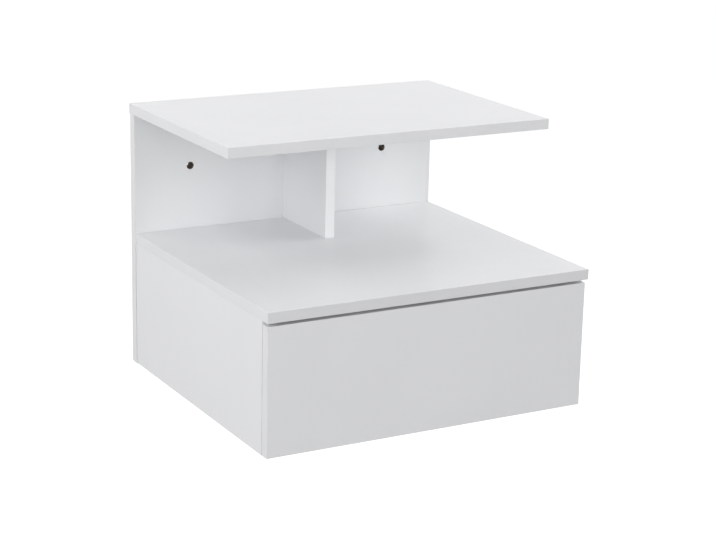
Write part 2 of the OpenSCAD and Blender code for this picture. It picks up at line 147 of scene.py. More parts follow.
def put(socket, value):
    """Links a socket, or sets its own value."""
    if isinstance(value, Size):
        value = value.socket
    if isinstance(value, bpy.types.NodeSocket):
        socket.id_data.links.new(value, socket)
    else:
        socket.default_value = value


def add_node(tree, kind, inputs=(), **settings):
    """A new node with its settings made and its inputs put in."""
    node = tree.nodes.new(kind)
    for name, value in settings.items():
        setattr(node, name, value)
    for name, value in dict(inputs).items():
        put(node.inputs[name], value)
    return node


def made_by(tree, kind, inputs=(), **settings):
    """What a new node gives at its first output."""
    return add_node(tree, kind, inputs, **settings).outputs[0]


def cleared_tree(holder):
    """The node tree of a material or world, emptied."""
    holder.use_nodes = True
    holder.node_tree.nodes.clear()
    return holder.node_tree


# Materials

# Where the middle values of a noise begin and end
NOISE_LOW, NOISE_HIGH = 0.3, 0.7


def new_finish(name):
    """A named material, its tree and its shader, joined to the output."""
    finish = bpy.data.materials.new(name)
    tree = cleared_tree(finish)
    shader = add_node(tree, "ShaderNodeBsdfPrincipled")
    add_node(tree, "ShaderNodeOutputMaterial", {"Surface": shader.outputs["BSDF"]})
    return finish, tree, shader


def stretched(tree, place, stretch):
    """A place stretched along its axes."""
    return made_by(tree, "ShaderNodeMapping", {"Vector": place, "Scale": stretch})


def object_place(tree, stretch=(1.0, 1.0, 1.0)):
    """The place on the piece, stretched along its axes."""
    return stretched(tree, add_node(tree, "ShaderNodeTexCoord").outputs["Object"], stretch)


def clouds(tree, place, scale, detail=2.0, rough=0.5):
    """A noise whose features are about one over scale metres wide."""
    inputs = {"Vector": place, "Scale": scale, "Detail": detail, "Roughness": rough}
    return made_by(tree, "ShaderNodeTexNoise", inputs)


def flakes(tree, place, scale, output):
    """Cells with one random colour each, or the distance from their middles."""
    return add_node(tree, "ShaderNodeTexVoronoi", {"Vector": place, "Scale": scale}).outputs[output]


def spread(tree, noise, low, high):
    """Maps a noise's middle values onto a range."""
    inputs = {"From Min": NOISE_LOW, "From Max": NOISE_HIGH, "To Min": low, "To Max": high}
    return made_by(tree, "ShaderNodeMapRange", {"Value": noise, **inputs})


def tint(tree, value, stops):
    """Turns a pattern's value into a colour between stops, each with its place."""
    node = add_node(tree, "ShaderNodeValToRGB", {"Fac": value})
    elements = node.color_ramp.elements
    while len(elements) < len(stops):
        elements.new(0.5)
    for element, (at, colour) in zip(elements, stops):
        element.position = at
        element.color = (*colour, 1.0)
    return node.outputs["Color"]


def relief(tree, shader, height, distance, strength, under=None):
    """Adds a bump of the given depth in metres, over another one if there is one."""
    inputs = {"Height": height, "Distance": distance, "Strength": strength}
    if under is not None:
        inputs["Normal"] = under
    bump = made_by(tree, "ShaderNodeBump", inputs)
    put(shader.inputs["Normal"], bump)
    return bump


def clouded_finish(name, tones, tone_clouds, gloss, gloss_clouds, grain, grain_clouds, metallic=0.0):
    """A coat, plastic or metal whose tone and gloss are clouded, with a fine grain. The gloss is
    a range of roughness, the grain a depth and strength, and clouds begin with their scale."""
    finish, tree, shader = new_finish(name)
    place = object_place(tree)
    step = (NOISE_HIGH - NOISE_LOW) / (len(tones) - 1)
    stops = [(NOISE_LOW + step * number, tone) for number, tone in enumerate(tones)]
    put(shader.inputs["Base Color"], tint(tree, clouds(tree, place, *tone_clouds), stops))
    put(shader.inputs["Roughness"], spread(tree, clouds(tree, place, *gloss_clouds), *gloss))
    shader.inputs["Metallic"].default_value = metallic
    relief(tree, shader, clouds(tree, place, *grain_clouds), *grain)
    return finish


def edge_band_plastic(name, *tones):
    """The edge bands' plastic in one tone; a lighter copy paints a highlight, a darker copy paints shade.
    """
    return clouded_finish(
        name, tones, (14.0,), (0.30, 0.40), (70.0, 4.0, 0.6), (0.015 * MM, 0.5), (420.0,)
    )


# Chipboard's tones as a saw leaves it, and much darker ones for the drilled holes, partly the drilled
# wall's darker tone and partly painted shade; and their places in the pattern
SAWN_TONES = [(0.21, 0.140, 0.080), (0.39, 0.285, 0.175), (0.52, 0.400, 0.265), (0.64, 0.525, 0.375)]
DRILLED_SHADE_TONES = [(0.08, 0.060, 0.045), (0.14, 0.112, 0.088), (0.20, 0.165, 0.135), (0.27, 0.230, 0.195)]
TONE_PLACES = (0.25, 0.42, 0.60, 0.80)
# How many times flatter a flake is than it is wide, and the fine fibres' share of the pattern
FLAKE_FLATNESS = 2.6
FIBRE_SHARE = 0.45


def matt_finish(parts, pattern, stops, rough, grain, under=None):
    """Ends a matt finish: one pattern for its tone and its grain."""
    finish, tree, shader = parts
    put(shader.inputs["Base Color"], tint(tree, pattern, stops))
    shader.inputs["Roughness"].default_value = rough
    relief(tree, shader, pattern, *grain, under)
    return finish


def chipboard(name, thick, tones):
    """Bare chipboard: flakes that lie flat in the board, in the tones given, the drilled ones holding
    painted shade.
    """
    parts = _, tree, _ = new_finish(f"{name}_{thick}")
    stretch = [1.0, 1.0, 1.0]
    stretch[AXES[thick]] = FLAKE_FLATNESS
    place = object_place(tree, stretch)
    grey = made_by(tree, "ShaderNodeRGBToBW", {"Color": flakes(tree, place, 520.0, "Color")})
    fibres = clouds(tree, place, 1900.0, 4.0, 0.7)
    inputs = {"Factor": FIBRE_SHARE, "A": grey, "B": fibres}
    pattern = made_by(tree, "ShaderNodeMix", inputs, data_type="FLOAT")
    return matt_finish(parts, pattern, [*zip(TONE_PLACES, tones)], 0.92, (0.25 * MM, 0.8))


def bare_hardboard():
    """The bare underside and edges of the bottom sheet: brown fibres with a mesh print."""
    parts = _, tree, shader = new_finish("bare_hardboard")
    fibres = clouds(tree, object_place(tree, (1.0, 0.35, 1.0)), 950.0, 5.0, 0.7)
    stops = [(0.3, (0.20, 0.120, 0.062)), (0.55, (0.33, 0.210, 0.115)), (0.75, (0.43, 0.300, 0.180))]
    print_marks = flakes(tree, object_place(tree), 700.0, "Distance")
    first = relief(tree, shader, print_marks, 0.08 * MM, 0.7)
    return matt_finish(parts, fibres, stops, 0.88, (0.05 * MM, 0.6), first)


def turned_beech():
    """Raw beech whose grain follows each dowel by the place kept on its mesh."""
    parts = _, tree, _ = new_finish("turned_beech")
    kept = add_node(tree, "ShaderNodeAttribute", attribute_name="dowel_place")
    place = stretched(tree, kept.outputs["Vector"], (1.0, 1.0, 0.06))
    grain = clouds(tree, place, 1500.0, 4.0, 0.65)
    stops = [(0.3, (0.53, 0.36, 0.205)), (0.55, (0.66, 0.475, 0.295)), (0.75, (0.73, 0.555, 0.37))]
    return matt_finish(parts, grain, stops, 0.7, (0.04 * MM, 0.6))


MELAMINE = clouded_finish(
    "white_melamine",
    [(0.802, 0.808, 0.8195), (0.822, 0.828, 0.8395)], (9.0, 3.0),
    (0.30, 0.38), (38.0, 4.0, 0.6), (0.01 * MM, 0.5), (420.0,),
)
EDGE_BAND = edge_band_plastic("white_edge_band", (0.775, 0.781, 0.792), (0.795, 0.801, 0.812))
# Copies of the band's plastic with painted light: lighter for the divider's front edge (painted
# highlight), darker for the deck's front edge (painted shade)
PAINTED_HIGHLIGHT_BAND = edge_band_plastic("painted_highlight_edge_band", (0.866, 0.872, 0.883), (0.886, 0.892, 0.903))
PAINTED_SHADE_BAND = edge_band_plastic("painted_shade_edge_band", (0.731, 0.737, 0.748), (0.751, 0.757, 0.768))
SAWN_CHIPBOARD = {thick: chipboard("sawn_chipboard", thick, SAWN_TONES) for thick in AXES}
# Drilled chipboard for the holes' walls, darkened with painted shade
DRILLED_SHADE_CHIPBOARD = {thick: chipboard("drilled_shaded_chipboard", thick, DRILLED_SHADE_TONES) for thick in AXES}
LACQUER = clouded_finish(
    "white_lacquer",
    [(0.765, 0.765, 0.755), (0.79, 0.79, 0.78)], (20.0, 3.0),
    (0.42, 0.55), (55.0, 4.0), (0.02 * MM, 0.6), (900.0,),
)
HARDBOARD = bare_hardboard()
POWDER_COAT = clouded_finish(
    "white_powder_coat",
    [(0.775, 0.777, 0.770), (0.805, 0.807, 0.80)], (30.0, 3.0),
    (0.30, 0.42), (160.0, 3.0), (0.035 * MM, 0.7), (780.0,),
)
NYLON = clouded_finish(
    "natural_nylon",
    [(0.69, 0.69, 0.655), (0.74, 0.74, 0.71)], (240.0, 3.0),
    (0.40, 0.52), (600.0, 3.0), (0.01 * MM, 0.5), (1800.0,),
)
ZINC = clouded_finish(
    "zinc_plate",
    [(0.62, 0.635, 0.655), (0.67, 0.675, 0.68), (0.70, 0.69, 0.665)], (330.0, 3.0),
    (0.29, 0.44), (900.0, 4.0), (0.01 * MM, 0.5), (2400.0, 3.0), metallic=1.0,
)
CAST_ZINC = clouded_finish(
    "tumbled_zinc",
    [(0.50, 0.50, 0.51), (0.62, 0.62, 0.625)], (420.0, 3.0),
    (0.42, 0.60), (700.0, 3.0), (0.05 * MM, 0.6), (1500.0, 4.0, 0.7), metallic=1.0,
)
BEECH = turned_beech()


# Pieces


def finish_piece(made, body, nodes=()):
    """Lets a finished piece ride on its body and stand for its CAD nodes."""
    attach(made, body)
    if nodes:
        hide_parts(*nodes)
    return made


def smooth_by_angle(mesh):
    """Smooth shading for narrow faces that turn gently into the next; all others stay flat."""
    mesh.set_sharp_from_angle(angle=SMOOTH_ANGLE)
    shape = bmesh.new()
    shape.from_mesh(mesh)
    for face, polygon in zip(shape.faces, mesh.polygons):
        outline = sum(edge.calc_length() for edge in face.edges)
        narrow = 2 * face.calc_area() < FLAT_WIDTH * outline
        turns = any(FLAT_ANGLE < edge.calc_face_angle(0.0) < SMOOTH_ANGLE for edge in face.edges)
        polygon.use_smooth = narrow and turns
    shape.free()


def new_object(name, data):
    """A new object in the scene."""
    made = bpy.data.objects.new(name, data)
    bpy.context.scene.collection.objects.link(made)
    return made


def to_object(name, shape, finishes):
    """Turns a bmesh into an object of the scene."""
    mesh = bpy.data.meshes.new(name)
    shape.to_mesh(mesh)
    shape.free()
    for finish in finishes:
        mesh.materials.append(finish)
    smooth_by_angle(mesh)
    return new_object(name, mesh)


def keep_result(made, modifier):
    """Puts a modifier's result in the place of the object's mesh, and drops the modifier."""
    depsgraph = bpy.context.evaluated_depsgraph_get()
    mesh = bpy.data.meshes.new_from_object(made.evaluated_get(depsgraph), depsgraph=depsgraph)
    made.modifiers.remove(modifier)
    made.data = mesh
    smooth_by_angle(mesh)


def joined_copy(node):
    """A copy of a CAD node with its loose corners joined."""
    shape = bmesh.new()
    shape.from_mesh(frame["nodes"][node].data)
    bmesh.ops.remove_doubles(shape, verts=shape.verts[:], dist=MERGE)
    return shape


def whole_faced_copy(node):
    """A copy of a CAD node with its flat faces made whole."""
    shape = joined_copy(node)
    bmesh.ops.dissolve_limit(shape, angle_limit=FLAT_ANGLE, verts=shape.verts[:], edges=shape.edges[:])
    return shape


def side_plane(low, high, edge):
    """Axis and place of the plane on one side of a box, such as -y."""
    axis = AXES[edge[1]]
    return axis, (low if edge[0] == "-" else high)[axis]


# A board's finishes, in the order that its mesh carries them
WHITE_FACE, SAWN_EDGE, DRILLED_SHADE_HOLE = range(3)


def faced_board(node):
    """A board's core: cut back for its bands, faced white, and bare at its ends and holes; the holes are
    darkened with painted shade.
    """
    thick, bands, joints = BOARDS[node]
    low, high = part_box(node)
    shape = whole_faced_copy(node)
    core_low, core_high = low.copy(), high.copy()
    for edge in bands + joints:
        axis, place = side_plane(low, high, edge)
        inward = BAND_T if edge in bands else JOINT_GAP
        if edge[0] == "+":
            inward = -inward
        for corner in shape.verts:
            if abs(corner.co[axis] - place) < MERGE:
                corner.co[axis] += inward
        (core_low if edge[0] == "-" else core_high)[axis] += inward
    shape.normal_update()

    def planes(corner):
        """Which of the core's six planes a corner lies on."""
        limits = enumerate((*core_low, *core_high))
        return {number for number, limit in limits if abs(corner.co[number % 3] - limit) < MERGE}

    outer = [edge for edge in shape.edges if len(set.intersection(*map(planes, edge.verts))) == 2]
    bmesh.ops.bevel(shape, geom=outer, offset=ARRIS, segments=1, affect="EDGES", profile=0.5)
    through = Vector()
    through[AXES[thick]] = 1.0
    for place in (core_low + FACING_T * through, core_high - FACING_T * through):
        parts = shape.verts[:] + shape.edges[:] + shape.faces[:]
        bmesh.ops.bisect_plane(shape, geom=parts, dist=MERGE / 10, plane_co=place, plane_no=through)
    shape.normal_update()
    for face in shape.faces:
        middle = face.calc_center_median()
        depths = [min(middle[i] - core_low[i], core_high[i] - middle[i]) for i in range(3)]
        # Faces inside the board take the darker drilled chipboard: painted shade in the holes
        if min(depths) > ARRIS:
            face.material_index = DRILLED_SHADE_HOLE
        elif depths[AXES[thick]] < FACING_T:
            face.material_index = WHITE_FACE
        else:
            face.material_index = SAWN_EDGE
    coats = [MELAMINE, SAWN_CHIPBOARD[thick], DRILLED_SHADE_CHIPBOARD[thick]]
    made = to_object(node + "_board", shape, coats)
    return finish_piece(made, body_of_node(node), [node])


def bottom_sheet():
    """The drawer's bottom: white lacquer above, bare hardboard below and at the edges."""
    shape = whole_faced_copy("drawer_bottom")
    shape.normal_update()
    for face in shape.faces:
        face.material_index = 0 if face.normal.z > 0.5 else 1
    made = to_object("drawer_bottom_sheet", shape, [LACQUER, HARDBOARD])
    return finish_piece(made, "drawer", ["drawer_bottom"])


# Geometry Nodes


def new_tree(name, sizes, finishes=()):
    """A tree that takes places, named sizes and finishes; gives it, its places, its sizes and
    the socket where the pieces leave it."""
    tree = bpy.data.node_groups.new(name, "GeometryNodeTree")
    tree.interface.new_socket("Places", in_out="INPUT", socket_type="NodeSocketGeometry")
    tree.interface.new_socket("Pieces", in_out="OUTPUT", socket_type="NodeSocketGeometry")
    for labels, kind in ((sizes, "NodeSocketFloat"), (finishes, "NodeSocketMaterial")):
        for label in labels:
            tree.interface.new_socket(label, in_out="INPUT", socket_type=kind)
    entry = add_node(tree, "NodeGroupInput").outputs
    leave = add_node(tree, "NodeGroupOutput").inputs["Pieces"]
    return tree, entry["Places"], {label: Size(entry[label]) for label in sizes}, leave


def vector_of(tree, x, y, z):
    """Joins three sizes into a vector."""
    return made_by(tree, "ShaderNodeCombineXYZ", enumerate((x, y, z)))


def moved(tree, mesh, **changes):
    """A mesh with its Translation, Rotation or Scale changed."""
    return made_by(tree, "GeometryNodeTransform", {"Geometry": mesh, **changes})


def raised(tree, mesh, rise, **changes):
    """A mesh moved along +z."""
    return moved(tree, mesh, Translation=vector_of(tree, 0.0, 0.0, rise), **changes)


def turned(tree, start, length, near, far=None, corners=28):
    """A round section along +z from start, from one radius to the other or straight."""
    radii = {"Radius Bottom": near, "Radius Top": near if far is None else far}
    cone = made_by(tree, "GeometryNodeMeshCone", {"Vertices": corners, "Depth": length, **radii})
    return raised(tree, cone, start)


def combined(tree, operation, first, others):
    """The union of meshes, or the first one less the others."""
    node = add_node(tree, "GeometryNodeMeshBoolean", operation=operation, solver="EXACT")
    put(node.inputs["Mesh 1" if operation == "DIFFERENCE" else "Mesh 2"], first)
    for other in others:
        put(node.inputs["Mesh 2"], other)
    return node.outputs["Mesh"]


def joined(tree, meshes):
    """Puts meshes together without fusing them."""
    node = add_node(tree, "GeometryNodeJoinGeometry")
    for mesh in meshes:
        put(node.inputs["Geometry"], mesh)
    return node.outputs["Geometry"]


def swept(tree, path, outline):
    """A closed bar with that outline along a path."""
    inputs = {"Curve": path, "Profile Curve": outline, "Fill Caps": True}
    return made_by(tree, "GeometryNodeCurveToMesh", inputs)


def thread(tree, start, length, core, crest, pitch):
    """A screw thread wound on a core from start along +z."""
    turns = {"Resolution": 16, "Rotations": length / pitch, "Height": length}
    radii = {"Start Radius": core, "End Radius": core}
    spiral = made_by(tree, "GeometryNodeCurveSpiral", turns | radii)
    square = {"Resolution": 4, "Radius": crest - core}
    ridge = made_by(tree, "GeometryNodeCurvePrimitiveCircle", square)
    return raised(tree, swept(tree, spiral, ridge), start)


def star_recess(tree, span, wide_share, depth):
    """The cross recess of a screw or cam: two thin wedges that narrow to half with depth."""
    mouth = span * 0.5
    inputs = {"Vertices": 4, "Radius Bottom": mouth, "Radius Top": mouth * 0.5, "Depth": depth * 2.0}
    wings = []
    for quarter in (0.0, math.pi / 2):
        wedge = made_by(tree, "GeometryNodeMeshCone", inputs)
        thin = raised(tree, wedge, depth * -1.0, Scale=(1.0, wide_share, 1.0))
        wings.append(moved(tree, thin, Rotation=(0.0, 0.0, quarter)))
    return wings


def coated(tree, mesh, finish, leave):
    """Ends a tree: makes all copies real and gives them one finish."""
    real = made_by(tree, "GeometryNodeRealizeInstances", {"Geometry": mesh})
    put(leave, made_by(tree, "GeometryNodeSetMaterial", {"Geometry": real, "Material": finish}))


def mark(tree, name, kind):
    """A value that each place carries."""
    return made_by(tree, "GeometryNodeInputNamedAttribute", {"Name": name}, data_type=kind)


def set_out(tree, places, mesh, finish, leave):
    """Puts a copy at each place, turned as that place says, and ends the tree."""
    inputs = {"Points": places, "Instance": mesh, "Rotation": mark(tree, "turn", "QUATERNION")}
    coated(tree, made_by(tree, "GeometryNodeInstanceOnPoints", inputs), finish, leave)


def place_parts(tree):
    """The place of a corner, whole and as its three sizes."""
    place = made_by(tree, "GeometryNodeInputPosition")
    parts = add_node(tree, "ShaderNodeSeparateXYZ", {"Vector": place}).outputs
    return place, *map(Size, parts)


# A screw's head height over its head radius, and the rest as shares of its own sizes
HEAD_SHARE = 0.6
RIM_SHARE = 0.03
CORE_SHARE = 0.72
TIP_SHARE = 0.12
POINT_SHARE = 0.12
RECESS_SPAN_SHARE = 1.15
RECESS_WIDE_SHARE = 0.3
RECESS_DEPTH_SHARE = 0.4
# How far the point reaches into the shank, so that the two fuse
FUSE = 0.0002 * MM


def screw_sizes(length, crest, head, pitch):
    """The sizes of a screw, from its main ones."""
    return {
        "Length": length,
        "Head Radius": head,
        "Head Height": head * HEAD_SHARE,
        "Core Radius": crest * CORE_SHARE,
        "Crest Radius": crest,
        "Pitch": pitch,
        "Tip": length * TIP_SHARE,
        "Recess Depth": head * RECESS_DEPTH_SHARE,
    }


RUNNER_SCREW_R = 1.75 * MM
RUNNER_SCREW_HEAD_R = 3.2 * MM
LONG_SCREW = screw_sizes(40.0 * MM, 2.0 * MM, 4.0 * MM, 2.2 * MM)
RUNNER_SCREW = screw_sizes(10.0 * MM, RUNNER_SCREW_R, RUNNER_SCREW_HEAD_R, 1.5 * MM)
SHEET_SCREW = screw_sizes(16.0 * MM, 1.5 * MM, 2.8 * MM, 1.4 * MM)


def screw_tree():
    """Countersunk screws with a cross recess, a wound thread and a point."""
    tree, places, size, leave = new_tree("countersunk_screw", LONG_SCREW)
    head, core, head_height = size["Head Radius"], size["Core Radius"], size["Head Height"]
    rim = head_height * RIM_SHARE
    shank_end = size["Length"] - size["Tip"]
    plate = turned(tree, 0.0, rim, head, corners=40)
    cone = turned(tree, rim, head_height - rim, head, core, 40)
    shank = turned(tree, rim, shank_end - rim, core)
    point = turned(tree, shank_end - FUSE, size["Tip"], core, core * POINT_SHARE)
    solid = combined(tree, "UNION", plate, [cone, shank, point])
    recess = star_recess(tree, head * RECESS_SPAN_SHARE, RECESS_WIDE_SHARE, size["Recess Depth"])
    solid = combined(tree, "DIFFERENCE", solid, recess)
    wound_length = shank_end - head_height
    wound = thread(tree, head_height, wound_length, core, size["Crest Radius"], size["Pitch"])
    set_out(tree, places, joined(tree, [solid, wound]), ZINC, leave)
    return tree


CAM = {
    "Radius": 6.0 * MM,
    "Height": 9.5 * MM,
    "Bolt Level": 6.0 * MM,
    "Pocket Radius": 3.0 * MM,
    "Neck Radius": 1.8 * MM,
    "Recess Depth": 2.2 * MM,
}
# Shares of a cam's radius, and the recess's width over its span
CAM_CHAMFER_SHARE = 0.06
CAM_RECESS_SHARE = 1.5
CAM_RECESS_WIDE_SHARE = 0.26
POCKET_REACH_SHARE = 1.2
SLIT_DEPTH_SHARE = 0.5
SLIT_PLACE_SHARE = 0.72


def cam_tree():
    """Cast cams with a cross recess in the face and a pocket for the bolt's head."""
    tree, places, size, leave = new_tree("cast_cam", CAM)
    radius, level = size["Radius"], size["Bolt Level"]
    chamfer = radius * CAM_CHAMFER_SHARE
    lip = turned(tree, 0.0, chamfer, radius - chamfer, radius, 48)
    drum = turned(tree, chamfer, size["Height"] - chamfer, radius, corners=48)
    solid = combined(tree, "UNION", lip, [drum])
    span = radius * CAM_RECESS_SHARE
    recess = star_recess(tree, span, CAM_RECESS_WIDE_SHARE, size["Recess Depth"])
    reach = radius * POCKET_REACH_SHARE
    pocket = turned(tree, 0.0, reach, size["Pocket Radius"], corners=24)
    pocket = raised(tree, pocket, level, Rotation=(-math.pi / 2, 0.0, 0.0))
    slit_size = vector_of(tree, reach * 2.0, radius * SLIT_DEPTH_SHARE, size["Neck Radius"] * 2.0)
    slit = made_by(tree, "GeometryNodeMeshCube", {"Size": slit_size})
    slit_place = vector_of(tree, 0.0, radius * SLIT_PLACE_SHARE, level)
    slit = moved(tree, slit, Translation=slit_place)
    solid = combined(tree, "DIFFERENCE", solid, [*recess, pocket, slit])
    set_out(tree, places, solid, CAST_ZINC, leave)
    return tree


CAM_BOLT = {
    "Length": 33.0 * MM,
    "Head Radius": 2.7 * MM,
    "Head Length": 3.0 * MM,
    "Neck Radius": 1.6 * MM,
    "Neck Length": 3.0 * MM,
    "Shank Radius": 2.7 * MM,
    "Thread Length": 9.0 * MM,
    "Core Radius": 2.1 * MM,
    "Crest Radius": 3.0 * MM,
    "Pitch": 2.2 * MM,
}
# A head's ends and the core's end, as shares of their radii; the turns of thread left off
HEAD_END_SHARE = 0.7
CORE_END_SHARE = 0.8
TURNS_LEFT_OFF = 1.8


def cam_bolt_tree():
    """Cam bolts: a head that the cam grips, a neck, a plain shank and a coarse thread."""
    tree, places, size, leave = new_tree("cam_bolt", CAM_BOLT)
    head, core, pitch = size["Head Radius"], size["Core Radius"], size["Pitch"]
    half = size["Head Length"] * 0.5
    narrow = head * HEAD_END_SHARE
    nose = turned(tree, 0.0, half, narrow, head, 24)
    back = turned(tree, half, half, head, narrow, 24)
    neck_end = size["Head Length"] + size["Neck Length"]
    neck = turned(tree, half, neck_end - half, size["Neck Radius"], corners=24)
    thread_length = size["Thread Length"]
    thread_start = size["Length"] - thread_length
    shank = turned(tree, neck_end, thread_start - neck_end, size["Shank Radius"], corners=24)
    rod = turned(tree, thread_start, thread_length, core, core * CORE_END_SHARE, 24)
    solid = combined(tree, "UNION", nose, [back, neck, shank, rod])
    wound_length = thread_length - pitch * TURNS_LEFT_OFF
    wound = thread(tree, thread_start + pitch, wound_length, core, size["Crest Radius"], pitch)
    set_out(tree, places, joined(tree, [solid, wound]), ZINC, leave)
    return tree


# The flutes' and ends' depths are shares of the radius
DOWEL = {
    "Length": 30.0 * MM,
    "Radius": 3.0 * MM,
    "Flute Share": 0.09,
    "End Share": 0.2,
    "Flutes": 15.0,
}
# The part of the length, from the middle, beyond which a dowel's end is narrowed
DOWEL_END_FROM = 0.49


def dowel_tree():
    """Fluted dowels with chamfered ends; each keeps its own place for the grain."""
    tree, places, size, leave = new_tree("fluted_dowel", DOWEL)
    inputs = {"Vertices": 60, "Side Segments": 18, "Radius": size["Radius"], "Depth": size["Length"]}
    rod = made_by(tree, "GeometryNodeMeshCylinder", inputs)
    place, x, y, z = place_parts(tree)
    groove = (y.reckon("ARCTAN2", x) * size["Flutes"]).reckon("COSINE").reckon("MAXIMUM", 0.0)
    near_end = z.reckon("ABSOLUTE").reckon("GREATER_THAN", size["Length"] * DOWEL_END_FROM)
    scale = (1.0 - groove * size["Flute Share"]) * (1.0 - near_end * size["End Share"])
    inputs = {"Geometry": rod, "Position": vector_of(tree, x * scale, y * scale, z)}
    shaped = made_by(tree, "GeometryNodeSetPosition", inputs)
    inputs = {"Geometry": shaped, "Name": "dowel_place", "Value": place}
    kept = made_by(
        tree, "GeometryNodeStoreNamedAttribute", inputs, data_type="FLOAT_VECTOR", domain="POINT"
    )
    set_out(tree, places, kept, BEECH, leave)
    return tree


# The journal's length comes from the frame
RIVET = {
    "Tail Length": 1.2 * MM,
    "Tail Radius": 2.0 * MM,
    "Shoulder Length": 0.6 * MM,
    "Journal Radius": 2.44 * MM,
    "Head Length": 0.8 * MM,
    "Head Radius": 4.0 * MM,
}


def rivet_tree():
    """Shouldered rivets that carry the rollers, with a plain tail and a bevelled head."""
    tree, places, size, leave = new_tree("roller_rivet", [*RIVET, "Journal Length"])
    head = size["Head Radius"]
    tail = turned(tree, 0.0, size["Tail Length"], size["Tail Radius"], corners=32)
    shoulder = turned(tree, size["Tail Length"], size["Shoulder Length"], head, corners=40)
    journal_start = size["Tail Length"] + size["Shoulder Length"]
    journal_length = size["Journal Length"]
    journal = turned(tree, journal_start, journal_length, size["Journal Radius"], corners=40)
    head_start = journal_start + journal_length
    half = size["Head Length"] * 0.5
    brim = turned(tree, head_start, half, head, corners=40)
    crown = turned(tree, head_start + half, half, head, head * HEAD_END_SHARE, 40)
    solid = combined(tree, "UNION", tail, [shoulder, journal, brim, crown])
    set_out(tree, places, solid, ZINC, leave)
    return tree


def edge_band_tree(sizes):
    """Edge bands: one rounded strip along each line, its outer side where the line says."""
    tree, places, size, leave = new_tree("edge_band", sizes, ["Finish"])
    line = made_by(tree, "GeometryNodeMeshToCurve", {"Mesh": places})
    inputs = {"Curve": line, "Normal": mark(tree, "outward", "FLOAT_VECTOR")}
    path = made_by(tree, "GeometryNodeSetCurveNormal", inputs, mode="FREE")
    inputs = {"Width": size["Thickness"], "Height": size["Width"]}
    section = made_by(tree, "GeometryNodeCurvePrimitiveQuadrilateral", inputs, mode="RECTANGLE")
    _, x, _, _ = place_parts(tree)
    more = size["Outer Round"] - size["Seam Round"]
    radius = x.reckon("GREATER_THAN", 0.0) * more + size["Seam Round"]
    inputs = {"Curve": section, "Radius": radius, "Count": 4}
    rounded = made_by(tree, "GeometryNodeFilletCurve", inputs, mode="POLY")
    coated(tree, swept(tree, path, rounded), places.node.outputs["Finish"], leave)
    return tree


def grow(name, tree, places, sizes, body, nodes=()):
    """Runs a tree on its places and keeps the result as one plain mesh."""
    made = new_object(name, places)
    modifier = made.modifiers.new("grow", "NODES")
    modifier.node_group = tree
    for item in tree.interface.items_tree:
        if item.in_out == "INPUT" and item.name in sizes:
            modifier[item.identifier] = sizes[item.name]
    keep_result(made, modifier)
    made.data.name = name
    return finish_piece(made, body, nodes)


# Places of the fittings, read from the frame

# The part of a long solid's length that counts as its end
END_SHARE = 0.02
# How much each screw's recess is turned further than the last
SPIN_STEP = math.radians(37)


def solids_of(node):
    """The corner lists of a CAD node's separate solids."""
    shape = joined_copy(node)
    shape.verts.ensure_lookup_table()
    seen = set()
    solids = []
    for start in shape.verts:
        if start.index in seen:
            continue
        seen.add(start.index)
        queue = [start]
        corners = []
        while queue:
            corner = queue.pop()
            corners.append(corner.co.copy())
            for edge in corner.link_edges:
                other = edge.other_vert(corner)
                if other.index not in seen:
                    seen.add(other.index)
                    queue.append(other)
        solids.append(corners)
    shape.free()
    # Sorted by their rounded middles, for a steady order
    return sorted(solids, key=lambda found: [round(v, 5) for v in sum(found, Vector()) / len(found)])


def extent(corners):
    """Lowest and highest corner of a solid."""
    low = Vector(min(c[i] for c in corners) for i in range(3))
    high = Vector(max(c[i] for c in corners) for i in range(3))
    return low, high


def wide_and_narrow_end(corners):
    """The middles of a long solid's wider and narrower end."""
    low, high = extent(corners)
    size = high - low
    axis = max(range(3), key=lambda i: size[i])
    ends = []
    for limit in (low, high):
        near = [c for c in corners if abs(c[axis] - limit[axis]) < size[axis] * END_SHARE]
        end = (low + high) / 2
        end[axis] = limit[axis]
        ends.append((max((c - end).length for c in near), end))
    ends.sort(key=lambda pair: pair[0])
    return ends[1][1], ends[0][1]


def turn_between(along, across, spin=0.0):
    """The turn that takes +z to along and +y near across, then spins about along."""
    along = along.normalized()
    side = across.cross(along).normalized()
    turn = Matrix((side, along.cross(side), along)).transposed().to_quaternion()
    return turn @ Quaternion(UP, spin)


def marked_mesh(name, corners, lines, label, kind, marks):
    """A mesh of corners and lines whose corners each carry a mark."""
    mesh = bpy.data.meshes.new(name)
    mesh.from_pydata(corners, lines, [])
    kept = mesh.attributes.new(label, kind, "POINT")
    for slot, value in zip(kept.data, marks):
        setattr(slot, "vector" if kind == "FLOAT_VECTOR" else "value", value)
    return mesh


def long_places(node, origin="narrow end", spin_step=0.0):
    """Origin and direction of each long fitting. It points from its origin to the other end,
    and from a middle to the wide end; each is spun a step further than the last."""
    places = []
    for number, corners in enumerate(solids_of(node)):
        wide, narrow = wide_and_narrow_end(corners)
        along = narrow - wide if origin == "wide end" else wide - narrow
        place = {"wide end": wide, "narrow end": narrow, "middle": (wide + narrow) / 2}[origin]
        across = -FORWARD if abs(along.normalized().z) > 0.5 else UP
        places.append((place, turn_between(along, across, spin_step * (number + 1))))
    return places


def cam_places(node, pocket):
    """Face, direction into the board and pocket direction of each cam. A cam that is pressed
    in from below has its pocket outward instead."""
    places = []
    for corners in solids_of(node):
        low, high = extent(corners)
        size = high - low
        axis = min(range(3), key=lambda i: size[i])
        face = (low + high) / 2
        outward = Vector((math.copysign(1.0, face.x), 0.0, 0.0))
        inward = (outward, FORWARD, UP)[axis]
        face[axis] = (low if inward[axis] > 0 else high)[axis]
        places.append((face, turn_between(inward, outward if axis == AXES["z"] else pocket)))
    return places


# Runners

